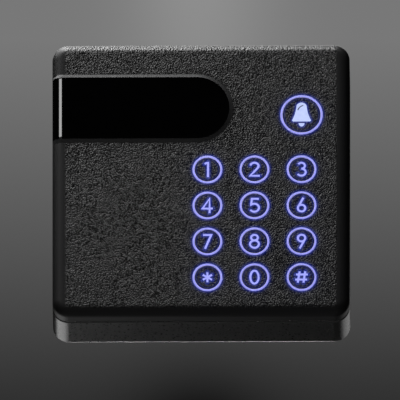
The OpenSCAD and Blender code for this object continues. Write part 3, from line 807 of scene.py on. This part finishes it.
def cap_top(centre, cap_r, sign):
    """Points, faces and surface values of a cap's grained top, about the cap's middle."""
    top_r = cap_r - CAP_SOFT
    count = math.ceil(top_r / GRAIN_PITCH) + 1
    line = np.arange(-count, count + 1) * GRAIN_PITCH
    x, y = (a.ravel() for a in np.meshgrid(line, line, indexing="ij"))
    index = np.arange(len(x)).reshape(len(line), len(line))
    points = np.stack([x, y, np.full(len(x), FRONT_Z)], 1)
    length = np.maximum(np.hypot(x, y), 1e-6)
    state = snap(points, length - top_r, points[:, :2] / length[:, None], GRAIN_PITCH / 2)
    _, top = trim(grid_quads(index), state)
    x, y = points[:, 0], points[:, 1]
    out = np.hypot(x, y)
    sign_off = stroke_distance(x, y, sign)
    mask = fade(top_r - out, 0.5)
    height = grain(points + np.array([centre.x, centre.y, 0])) * mask
    glow = np.maximum(spill(cap_r + CAP_GAP - out), spill(sign_off) * (sign_off > -0.2))
    points[:, 2] += height * GRAIN_DEPTH
    return points, top, {"relief": mask, "height": height, "glow": glow}


def build_cap(node, sign):
    """A key's cap: a grained top with a soft edge, a plain side and a flange behind."""
    centre, cap_r = KEYS[node]
    back_z = face_box(node)[0].z
    flange_z, flange_r = back_z + FLANGE_T, cap_r + FLANGE_W
    points, faces, values = cap_top(centre, cap_r, sign)

    loop = chain(border(faces))[0]
    around = points[loop]
    unit = around[:, :2] / np.hypot(around[:, 0], around[:, 1])[:, None]
    steps = [(cap_r - CAP_SOFT * (1 - math.sin(a)), FRONT_Z - CAP_SOFT * (1 - math.cos(a)))
             for a in np.linspace(0, math.pi / 2, 5)[1:]]
    steps += [(cap_r, flange_z), (flange_r, flange_z), (flange_r, back_z)]
    rings = [loop]
    for r, z in steps:
        rings.append(list(range(len(points), len(points) + len(loop))))
        points = np.concatenate([points, np.c_[unit * r, np.full(len(loop), z)]])
    for one, two in zip(rings, rings[1:]):
        for k in range(len(loop)):
            j = (k + 1) % len(loop)
            faces.append((one[j], one[k], two[k], two[j]))
    faces.append(tuple(rings[-1]))

    used, faces = drop_loose(points, faces)
    place = np.array([centre.x, centre.y, 0])
    cap = add_piece(node.replace("key", "cap"), points[used] + place, faces, node, sharp_deg=50,
                    origin=(*centre, FRONT_Z), slot="key_plastic", stands_for=node)
    store_skin(cap, values, used)
    return cap


def build_ring_lights():
    """The lit rings round the keys, each standing on the light guide's plate."""
    plate_z = face_box("key_light_guide")[0].z + HAIR
    crown_z, crown_drop = FRONT_Z + 0.04, 0.1
    parts = []
    for centre, cap_r in KEYS.values():
        r_in = cap_r + CAP_GAP
        crown = [(r_in + RING_W * u, crown_z - crown_drop * (2 * u - 1) ** 2)
                 for u in np.linspace(0, 1, 7)]
        profile = [(r_in, plate_z)] + crown + [(r_in + RING_W, plate_z)]
        parts.append(lathe(profile[::-1], centre, 96, closed=True))
    points, faces = merge_solids(parts)
    lit_rings = add_piece("key_ring_lights", points, faces, "reader", sharp_deg=50,
                          slot="lit_guide")
    middle = np.array([[c.x, c.y, r + CAP_GAP + RING_W / 2] for c, r in KEYS.values()])
    flat = np.array(points)
    nearest = np.hypot(flat[:, None, 0] - middle[None, :, 0],
                       flat[:, None, 1] - middle[None, :, 1])
    off = abs(nearest - middle[None, :, 2]).min(1) / (RING_W / 2)
    store(lit_rings, "core", np.clip(1 - off, 0, 1))
    return lit_rings


# ---- soft pieces, made from their CAD nodes

DOME_FOOT_R = 5.25
DOME_CROWN_R = 3.6
DOME_WALL = 0.8
DOME_H = 1.4  # from the mat's web to the dome's crown
PLUNGER_R = 2.4
PILL_R = 2.2
PILL_T = 0.2
WEB_T = 1.0
KEY_TRAVEL = 1.0
LATCH_STRIP_T = 0.5
LATCH_Y = 15.0  # height of the latch spring's bump on the wall
LATCH_BUMP_R = 10  # it lies within this distance of that place


def cad_copy(node, name):
    """A loose copy of a CAD node's mesh under another name, standing for the node."""
    source = frame["nodes"][node]
    mesh = source.data.copy()
    mesh.transform(source.matrix_world)
    made = bpy.data.objects.new(name, mesh)
    bpy.context.scene.collection.objects.link(made)
    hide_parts(node)
    return made


def mat_dome_profile(low_z, high_z, plunger_z):
    """A dome from its crown down the outside, and up inside to the plunger's tip."""
    foot, crown = low_z + WEB_T, low_z + WEB_T + DOME_H
    inner_foot_r = DOME_FOOT_R - DOME_WALL
    return [(DOME_CROWN_R, high_z), (DOME_CROWN_R, crown), (DOME_FOOT_R, foot),
            (DOME_FOOT_R, low_z), (inner_foot_r, low_z), (inner_foot_r, foot - 0.2),
            (PLUNGER_R + 0.5, crown), (PLUNGER_R, crown), (PLUNGER_R, plunger_z)]


def build_mat():
    """The silicone mat: a web with a hole at each key, and a dome with its contact pill behind
    each key.
    """
    low, high = face_box("keypad_mat")
    plunger_z = low.z + KEY_TRAVEL + PILL_T
    profile = mat_dome_profile(low.z, high.z, plunger_z)
    cutter = [(DOME_FOOT_R, high.z + 1), (DOME_FOOT_R, low.z - 1)]
    holes = [turned_solid(cutter, centre, 48) for centre, _ in KEYS.values()]
    web = cad_copy("keypad_mat", "mat_web")
    combine(web, [solid_object(*merge_solids(holes))], "DIFFERENCE")
    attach(web, "reader")
    soft, pills = [web], []
    for node, (centre, _) in KEYS.items():
        dome = add_piece(node.replace("key", "mat_dome"), *turned_solid(profile, centre, 48),
                         slot="silicone", stands_for="keypad_mat")
        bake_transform(dome)
        soft.append(dome)
        pill = [(PILL_R, plunger_z), (PILL_R, plunger_z - PILL_T + HAIR)]
        pills.append(add_piece(node.replace("key", "contact_pill"),
                               *turned_solid(pill, centre, 32), node, slot="carbon",
                               stands_for="contact_pills"))
    return soft, pills


def build_latch():
    """The latch spring: a strip, and its bump as a piece of its own, both riding on the wall
    plate.
    """
    low, high = face_box("latch_spring")
    strip_top = low.z + LATCH_STRIP_T
    around_bump = [(LATCH_BUMP_R, high.z + 1), (LATCH_BUMP_R, strip_top)]
    strip = cad_copy("latch_spring", "latch_strip")
    bump = cad_copy("latch_spring", "latch_bump")
    for piece, operation in ((strip, "DIFFERENCE"), (bump, "INTERSECT")):
        cutter = solid_object(*turned_solid(around_bump, (0, LATCH_Y), 4))
        combine(piece, [cutter], operation)
        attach(piece, "wall_plate")
    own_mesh(bump)
    return [strip, bump]


def build_tamper_spring():
    """The tamper plunger's spring between the switch and the plunger, as a loose copy of its CAD
    node.
    """
    spring = cad_copy("tamper_spring", "tamper_coil")
    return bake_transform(spring)


# ---- materials

class Nodes:
    """A node tree filled with short calls; most give back an output socket."""

    def __init__(self, tree):
        self.tree = tree
        tree.nodes.clear()

    def link(self, value, socket):
        if isinstance(value, bpy.types.NodeSocket):
            self.tree.links.new(value, socket)
        else:
            socket.default_value = value

    def add(self, kind, *values):
        """A new node, with values for its first inputs."""
        node = self.tree.nodes.new("ShaderNode" + kind)
        for value, socket in zip(values, node.inputs):
            self.link(value, socket)
        return node

    def math(self, operation, a, b=0.0):
        node = self.add("Math", a, b)
        node.operation = operation
        return node.outputs[0]

    def spread(self, value, low, high, out_low=0.0, out_high=1.0):
        """The value's stretch from low to high, turned into out_low to out_high."""
        return self.add("MapRange", value, low, high, out_low, out_high).outputs[0]


class Shader(Nodes):
    """The nodes of a material on one principled surface."""

    def __init__(self, name):
        self.material = bpy.data.materials.new(name)
        self.material.use_nodes = True
        super().__init__(self.material.node_tree)
        self.surface = self.add("BsdfPrincipled")
        self.add("OutputMaterial", self.surface.outputs[0])

    def set(self, **values):
        """Inputs of the surface by name, with _ for a space."""
        for name, value in values.items():
            self.link(value, self.surface.inputs[name.replace("_", " ")])

    def place(self, stretch=(1, 1, 1)):
        """Object coordinates in metres, stretched along each axis."""
        mapping = self.add("Mapping", self.add("TexCoord").outputs["Object"])
        mapping.inputs["Scale"].default_value = stretch
        return mapping.outputs[0]

    def noise(self, size_mm, detail=3.0, stretch=(1, 1, 1)):
        """Noise whose features are about size_mm across."""
        node = self.add("TexNoise", self.place(stretch))
        node.inputs["Scale"].default_value = 1 / (size_mm * MM)
        node.inputs["Detail"].default_value = detail
        return node.outputs["Fac"]

    def cloud(self, size_mm, detail, low, high):
        """Soft blotches of about size_mm, from low to high."""
        return self.spread(self.noise(size_mm, detail), 0.3, 0.7, low, high)

    def cells(self, size_mm, metric="EUCLIDEAN"):
        """Distance from the nearest of many scattered points."""
        node = self.add("TexVoronoi", self.place())
        node.distance = metric
        node.inputs["Scale"].default_value = 1 / (size_mm * MM)
        return node.outputs["Distance"]

    def attribute(self, name):
        node = self.add("Attribute")
        node.attribute_name = name
        return node.outputs["Fac"]

    def mix(self, share, one, two):
        """Colour between two, by share."""
        node = self.add("Mix", share)
        node.data_type = "RGBA"
        for colour, socket in zip((one, two), node.inputs[6:8]):
            self.link((*colour, 1) if isinstance(colour, tuple) else colour, socket)
        return node.outputs[2]

    def bump(self, height, depth_mm, strength=1.0):
        """Bumps of about depth_mm on the surface."""
        node = self.add("Bump", strength, depth_mm * MM)
        self.link(height, node.inputs["Height"])
        self.set(Normal=node.outputs[0])


def grey(level):
    return (level, level, level)


# painted shade: the grain's hollows and the left rounding
PAINTED_SHADE_BLACK = (0.002, 0.002, 0.0021)
# the grain's tops: partly scuffs, partly painted highlight
SCUFF_AND_SHEEN_BLACK = grey(0.015)
SMOOTH_BLACK = (0.0085, 0.0085, 0.0088)
# painted highlight on the top rounding
PAINTED_HIGHLIGHT_BLACK = grey(0.026)
WINDOW_BLACK = grey(0.0002)
WINDOW_HAZY = (0.0005, 0.0005, 0.0006)
WINDOW_RIM = (0.018, 0.018, 0.0184)
GLOW_DEEP = (0.012, 0.030, 0.33)
FROSTED = (0.06, 0.06, 0.12)
LIT_EDGE = (0.12, 0.13, 0.68)
RING_CORE = (0.32, 0.33, 1.0)
SIGN_CORE = (0.34, 0.36, 0.97)
BELL_CORE = (0.49, 0.58, 0.90)

FINE_PEBBLE = 0.64  # sizes of the fine grain over the moulded one
FINE_ROUGH = 0.9
FINE_DEPTH = 0.15
CALM_PATCH = 9  # size of the patches where handling has dulled the grain


def grained_black(name):
    """Black plastic with a coarse moulded grain, and the blue light that spills on it.

    The tops of the grain are a little paler and glossier than the hollows: the paleness is partly
    scuffing and partly painted highlight, and the dark hollows are painted shade. The top
    rounding is painted paler as a painted highlight, and the left one darker as painted shade.
    """
    shader = Shader(name)
    relief, edge = shader.attribute("relief"), shader.attribute("edge")
    near = shader.math("POWER", shader.cells(FINE_PEBBLE), 2.0)
    rough_ground = shader.math("MULTIPLY", shader.noise(FINE_ROUGH, 2), 0.7)
    fine = shader.math("ADD", shader.math("MULTIPLY", near, -2.0), rough_ground)
    shader.bump(fine, FINE_DEPTH, relief)
    top = shader.math("ADD", shader.math("MULTIPLY", shader.attribute("height"), 0.7), fine)
    top = shader.spread(top, -0.5, 0.9)
    calm = shader.spread(shader.noise(CALM_PATCH, 1), 0.5, 0.68, 0.0, 0.65)
    top = shader.spread(calm, 0.0, 1.0, top, 0.42)
    blotch = shader.cloud(14, 2, 0.75, 1.25)
    # the grain's tops are painted paler (partly scuffs, partly painted highlight), and its
    # hollows dark as painted shade
    scuff_and_sheen = shader.mix(shader.math("MULTIPLY", top, blotch), PAINTED_SHADE_BLACK, SCUFF_AND_SHEEN_BLACK)
    # painted shade: the smooth band darker on the left rounding
    smooth = shader.mix(shader.attribute("side"), SMOOTH_BLACK, PAINTED_SHADE_BLACK)
    colour = shader.mix(relief, smooth, scuff_and_sheen)
    # painted highlight: the top rounding painted paler
    colour = shader.mix(shader.math("MULTIPLY", edge, 0.5), colour, PAINTED_HIGHLIGHT_BLACK)
    rough = shader.spread(shader.math("MULTIPLY", top, relief), 0.0, 1.0, 0.46, 0.28)
    shine = shader.math("MULTIPLY", shader.spread(top, 0.0, 1.0, 0.08, 0.38), relief)
    shine = shader.math("ADD", shine, shader.spread(relief, 0.0, 1.0, 0.09, 0.0))
    shine = shader.math("ADD", shine, shader.math("MULTIPLY", edge, 0.55))
    shader.set(Base_Color=colour, Roughness=rough, Specular_IOR_Level=shine,
               Emission_Color=(*GLOW_DEEP, 1), Emission_Strength=shader.attribute("glow"))
    return shader.material


def lit_surface(name, core):
    """Frosted guide lit from behind: bright along the middle, deeper blue at its edges."""
    shader = Shader(name)
    across = shader.spread(shader.attribute("core"), 0.1, 0.75)
    shader.bump(shader.noise(0.2, 2), 0.01, 0.4)
    shader.set(Base_Color=(*FROSTED, 1), Roughness=0.45,
               Emission_Color=shader.mix(across, LIT_EDGE, core),
               Emission_Strength=shader.cloud(1.6, 2, 0.92, 1.04))
    return shader.material


def window_gloss(name):
    """Smoked, polished plastic with a trace of dust and handling, and a satin rim."""
    shader = Shader(name)
    rim = shader.attribute("rim")
    haze = shader.spread(shader.noise(9, 4), 0.45, 0.8, 0.025, 0.06)
    satin = shader.cloud(1, 3, 0.36, 0.48)
    polished = shader.mix(shader.noise(5, 2), WINDOW_BLACK, WINDOW_HAZY)
    shader.bump(shader.noise(6, 1), 0.002, 0.25)
    shader.set(Base_Color=shader.mix(rim, polished, WINDOW_RIM),
               Roughness=shader.math("ADD", haze, shader.math("MULTIPLY", rim, satin)),
               Specular_IOR_Level=shader.spread(rim, 0.0, 1.0, 0.5, 0.17))
    return shader.material


def moulded(name, dark, light, rough=(0.4, 0.55), size=2.0, depth=0.01, **more):
    """Moulded plastic or rubber: a little blotchy, with a fine skin."""
    shader = Shader(name)
    colour = shader.mix(shader.cloud(size * 4, 4, 0.0, 1.0), dark, light)
    shader.bump(shader.noise(size * 0.15, 3), depth, 0.6)
    shader.set(Base_Color=colour, Roughness=shader.cloud(size, 4, *rough), **more)
    return shader.material


def metal(name, dark, light, rough=(0.25, 0.45), stretch=(1, 1, 1), size=1.0, depth=0.004):
    """Bare or plated metal, with brush lines where stretch is uneven."""
    shader = Shader(name)
    lines = shader.noise(size, 4, stretch)
    colour = shader.mix(shader.spread(lines, 0.25, 0.75), dark, light)
    shader.bump(lines, depth, 0.7)
    shader.set(Base_Color=colour, Metallic=1.0, Roughness=shader.cloud(size * 5, 3, *rough))
    return shader.material


def board_mask(name):
    """Green solder mask over faint copper tracks, which run side by side round square fields."""
    shader = Shader(name)
    field, tracks_across = 9, 7.0
    away = shader.math("MULTIPLY", shader.cells(field, "CHEBYCHEV"), tracks_across)
    tracks = shader.math("FRACT", away)
    line = shader.spread(tracks, 0.5, 0.6)
    colour = shader.mix(line, (0.012, 0.10, 0.045), (0.02, 0.17, 0.07))
    shader.bump(line, 0.03, 0.5)
    shader.set(Base_Color=colour, Roughness=shader.cloud(5, 3, 0.25, 0.4))
    return shader.material


def wound_wire(name):
    """Enamelled copper wire, its turns side by side."""
    shader = Shader(name)
    wire = 0.25
    wave = shader.add("TexWave", shader.place())
    wave.bands_direction = "Y"
    wave.inputs["Scale"].default_value = 0.5 / (wire * MM) / math.pi
    wave.inputs["Distortion"].default_value = 0.6
    colour = shader.mix(wave.outputs["Fac"], (0.16, 0.05, 0.015), (0.62, 0.27, 0.10))
    shader.bump(wave.outputs["Fac"], 0.08, 0.8)
    shader.set(Base_Color=colour, Metallic=0.8, Roughness=shader.cloud(2, 3, 0.25, 0.4))
    return shader.material


def cad_materials():
    """The finish of every CAD node that stays, by the record's material slot."""
    along_x = (0.04, 1, 1)
    return {
        "housing_plastic": moulded("housing_plastic_satin", grey(0.008), (0.014, 0.014, 0.013),
                                   (0.25, 0.34), 1.2, 0.006, Specular_IOR_Level=0.55),
        "lit_guide": moulded("light_guide_acrylic", (0.45, 0.44, 0.8), (0.6, 0.6, 0.95),
                             (0.2, 0.35)),
        "diffuser": moulded("diffuser_frosted", (0.55, 0.57, 0.6), (0.75, 0.77, 0.8)),
        "silicone": moulded("silicone_grey", (0.4, 0.41, 0.43), (0.55, 0.56, 0.58),
                            (0.5, 0.7), 1.5),
        "carbon": moulded("carbon_pill", grey(0.008), grey(0.02), (0.6, 0.8), 0.5, 0.02),
        "black_rubber": moulded("rubber_black", grey(0.006), grey(0.014), (0.55, 0.75), 1.0,
                                0.02),
        "steel_plate": metal("plate_zinc", (0.42, 0.43, 0.45), (0.62, 0.63, 0.66),
                             (0.3, 0.5), along_x, 0.5, 0.006),
        "spring_steel": metal("spring_bright", (0.5, 0.51, 0.54), (0.7, 0.71, 0.74),
                              (0.18, 0.3), along_x, 0.3, 0.003),
        "zinc_steel": metal("screw_zinc", grey(0.5), (0.72, 0.71, 0.68), (0.22, 0.4), size=0.4),
        "label_film": moulded("label_satin", (0.62, 0.63, 0.64), (0.72, 0.73, 0.74),
                              (0.3, 0.42), 2.5, 0.004),
        "board": board_mask("board_green"),
        "lamp": moulded("lamp_clear", (0.6, 0.65, 0.8), (0.8, 0.84, 0.95), (0.1, 0.2)),
        "chip": moulded("chip_epoxy", (0.012, 0.012, 0.013), (0.025, 0.025, 0.026),
                        (0.5, 0.65), 0.6),
        "can": metal("can_sleeve", (0.04, 0.05, 0.16), (0.07, 0.08, 0.26), (0.3, 0.4)),
        "pale_nylon": moulded("nylon_natural", (0.6, 0.57, 0.48), (0.72, 0.7, 0.6)),
        "copper": wound_wire("coil_copper"),
        "terminal_green": moulded("terminal_plastic", (0.02, 0.16, 0.06), (0.03, 0.23, 0.09)),
        "clamp_brass": metal("clamp_brass_plain", (0.5, 0.36, 0.12), (0.72, 0.55, 0.22)),
    }


def dress_cad(materials):
    """Gives each CAD node that stays its finish."""
    for part in frame["record"]["subparts"]:
        material = materials.get(part["material_slot"])
        if material is not None:
            mesh = frame["nodes"][part["node"]].data
            mesh.materials.clear()
            mesh.materials.append(material)


def paint(piece, material):
    piece.data.materials.clear()
    piece.data.materials.append(material)


# ---- studio

FLOOR_Z = -2.0
FLOOR_SIZE = 24
FLOOR_GLOW = 0.35
VIEW_AZIMUTH = 0.5
VIEW_ELEVATION = -22.0
FRAME_WIDTH = 0.1615  # width of the picture at the object
VIEW_DISTANCE = 1.1
VIEW_SHIFT = (-0.0033, -0.0185)  # the object stands a little above the middle
BACKDROP_GREY = (0.031, 0.188)  # at the picture's foot and towards its top
ROOM_GREY = (0.003, 0.03)  # level with the object, and straight above and below

# Each softbox's place, the point that it faces, its width and height, and its watts.
MIDDLE = (0, -0.02, 0)
SOFTBOXES = {
    "streak_softbox": ((-0.36, -0.76, 0.34), MIDDLE, (0.42, 0.08), 1.0),
    "key_softbox": ((-0.16, -0.38, 0.46), MIDDLE, (0.1, 0.1), 0.2),
    "top_softbox": ((-0.2, -0.12, 0.4), (0, -0.02, 0.05), (0.45, 0.4), 6.2),
    "rim_softbox": ((-0.1, 0.5, 0.5), MIDDLE, (0.8, 0.3), 1.6),
    "low_left_card": ((-0.228, 0.42, -0.3), MIDDLE, (0.3, 0.6), 0.8),
    "bounce_card": ((0, -0.55, -0.5), (0, -0.55, 0), (0.8, 1.3), 1.0),
    "back_softbox": ((0, 0.9, 0.02), MIDDLE, (0.2, 0.2), 1.4),
    "low_right_card": ((0.26, 0.45, 0.0), MIDDLE, (0.2, 0.3), 0.12),
}


def add_floor():
    """A plain pale floor, well below the object so that the low camera clears it.

    It is evenly lit by its own faint glow, and throws no light back on the object.
    """
    bpy.ops.mesh.primitive_plane_add(size=FLOOR_SIZE, location=(0, 0, FLOOR_Z))
    floor = bpy.context.object
    floor.name = "floor"
    shader = Shader("floor_pale")
    pale = shader.mix(shader.noise(400, 2), (0.70, 0.70, 0.69), (0.76, 0.76, 0.75))
    shader.bump(shader.noise(8, 2), 0.2, 0.5)
    shader.set(Base_Color=pale, Roughness=shader.cloud(60, 3, 0.6, 0.75), Emission_Color=pale,
               Emission_Strength=FLOOR_GLOW)
    paint(floor, shader.material)
    floor.visible_diffuse = False
    floor.visible_glossy = False


def add_softbox(name, place, aim, size, watts):
    """A rectangular soft light at a place, turned towards a point."""
    light = bpy.data.lights.new(name, "AREA")
    light.shape = "RECTANGLE"
    light.size, light.size_y = size
    light.energy = watts
    box = bpy.data.objects.new(name, light)
    box.location = place
    box.visible_camera = False
    box.rotation_euler = (Vector(aim) - Vector(place)).to_track_quat("-Z", "Y").to_euler()
    bpy.context.scene.collection.objects.link(box)


def add_world():
    """A grey backdrop for the camera, brightest at the top, and a dim room for the rest."""
    world = bpy.data.worlds.new("studio")
    bpy.context.scene.world = world
    world.use_nodes = True
    nodes = Nodes(world.node_tree)
    where = nodes.add("TexCoord").outputs
    across, up, _ = nodes.add("SeparateXYZ", where["Window"]).outputs
    fall = nodes.spread(nodes.math("POWER", up, 1.15), 0.0, 0.89, *BACKDROP_GREY)
    # a paler pool of light behind the object's top, with a bell curve's shape across
    off = nodes.math("SUBTRACT", across, 0.5)
    narrowing = nodes.math("MULTIPLY", nodes.math("MULTIPLY", off, off), -30.0)
    above = nodes.math("MULTIPLY", nodes.math("SUBTRACT", up, 0.2), 0.1)
    pool = nodes.math("MULTIPLY", nodes.math("POWER", math.e, narrowing), above)
    backdrop = nodes.add("Background", nodes.math("ADD", fall, pool))
    steep = nodes.math("ABSOLUTE", nodes.add("SeparateXYZ", where["Generated"]).outputs["Z"])
    room = nodes.add("Background", nodes.spread(steep, 0.3, 1.0, *ROOM_GREY))
    seen = nodes.add("LightPath").outputs["Is Camera Ray"]
    both = nodes.add("MixShader", seen, room.outputs[0], backdrop.outputs[0])
    nodes.add("OutputWorld", both.outputs[0])


def add_camera():
    """A view from below and a touch to the right, with no perspective to speak of."""
    low, high = CAD_BOX
    azimuth, elevation = math.radians(VIEW_AZIMUTH), math.radians(VIEW_ELEVATION)
    back = Vector((math.sin(azimuth) * math.cos(elevation),
                   -math.cos(azimuth) * math.cos(elevation), math.sin(elevation)))
    data = bpy.data.cameras.new("camera")
    data.type = "ORTHO"
    data.ortho_scale = FRAME_WIDTH
    data.shift_x, data.shift_y = VIEW_SHIFT
    camera = bpy.data.objects.new("camera", data)
    camera.location = (low + high) / 2 + back * VIEW_DISTANCE
    camera.rotation_euler = (-back).to_track_quat("-Z", "Y").to_euler()
    bpy.context.scene.collection.objects.link(camera)
    bpy.context.scene.camera = camera


# ---- build

black = grained_black("cover_grained_black")
lit = lit_surface("ring_lit", RING_CORE)
lit_sign = lit_surface("sign_lit", SIGN_CORE)
lit_bell = lit_surface("bell_lit", BELL_CORE)

finishes = cad_materials()
dress_cad(finishes)
paint(build_cover(), black)
paint(build_window(), window_gloss("window_smoked"))
paint(build_ring_lights(), lit)
for key_node, key_sign in KEY_LEGENDS.items():
    paint(build_cap(key_node, key_sign), black)
    legend = build_legend(key_node, key_sign)
    store(legend, "core", np.ones(len(legend.data.vertices)))
    paint(legend, lit_bell if key_sign == "bell" else lit_sign)

mat_pieces, pill_pieces = build_mat()
for piece in mat_pieces:
    paint(piece, finishes["silicone"])
for piece in pill_pieces:
    paint(piece, finishes["carbon"])
for piece in build_latch() + [build_tamper_spring()]:
    paint(piece, finishes["spring_steel"])

add_floor()
add_world()
for softbox, setting in SOFTBOXES.items():
    add_softbox(softbox, *setting)
add_camera()
bpy.context.scene.view_settings.view_transform = "Standard"
